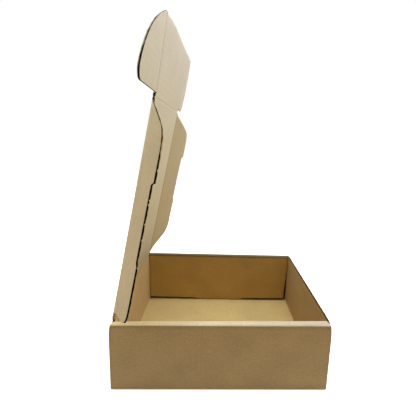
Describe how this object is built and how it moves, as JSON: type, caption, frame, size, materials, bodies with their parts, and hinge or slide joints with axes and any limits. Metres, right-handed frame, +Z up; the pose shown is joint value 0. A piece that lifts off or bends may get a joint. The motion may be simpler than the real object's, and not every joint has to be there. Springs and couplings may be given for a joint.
{
  "type": "corrugated mailer box",
  "caption": "Square roll-end mailer box in plain kraft corrugated board, lid standing open with its side flaps, tuck flap and ears unfolded.",
  "frame": {"origin": "middle of the floor's underside", "axes": "+Z up, +X from the back wall, which carries the lid, to the front wall, +Y from the near end wall to the far one"},
  "size_m": [0.25, 0.3898, 0.3997],
  "materials": {
    "kraft_board": "matte, unprinted kraft liner"
  },
  "bodies": {
    "tray": {"tray": "kraft_board"},
    "lid": {"lid_panel": "kraft_board"},
    "near_flap": {"lid_flap_near": "kraft_board"},
    "far_flap": {"lid_flap_far": "kraft_board"},
    "tuck": {"tuck_flap": "kraft_board"},
    "near_ear": {"ear_near": "kraft_board"},
    "far_ear": {"ear_far": "kraft_board"}
  },
  "joints": [
    {"name": "lid_hinge", "type": "hinge", "parent": "tray", "child": "lid", "pos_m": [-0.12365, 0, 0.08365], "axis": [0, -1, 0], "range_deg": [-47, 101.8]},
    {"name": "near_flap_crease", "type": "hinge", "parent": "lid", "child": "near_flap", "pos_m": [-0.12365, -0.10935, 0.08365], "axis": [-0.2045, 0, -0.9789], "range_deg": [-70, 30]},
    {"name": "far_flap_crease", "type": "hinge", "parent": "lid", "child": "far_flap", "pos_m": [-0.12365, 0.10935, 0.08365], "axis": [0.2045, 0, 0.9789], "range_deg": [-77, 23]},
    {"name": "tuck_crease", "type": "hinge", "parent": "lid", "child": "tuck", "pos_m": [-0.07373, 0, 0.32259], "axis": [0, -1, 0], "range_deg": [-90, 10]},
    {"name": "near_ear_crease", "type": "hinge", "parent": "tuck", "child": "near_ear", "pos_m": [-0.07373, -0.10495, 0.32259], "axis": [-0.2045, 0, -0.9789], "range_deg": [-90, 10]},
    {"name": "far_ear_crease", "type": "hinge", "parent": "tuck", "child": "far_ear", "pos_m": [-0.07373, 0.10495, 0.32259], "axis": [0.2045, 0, 0.9789], "range_deg": [-90, 10]}
  ]
}
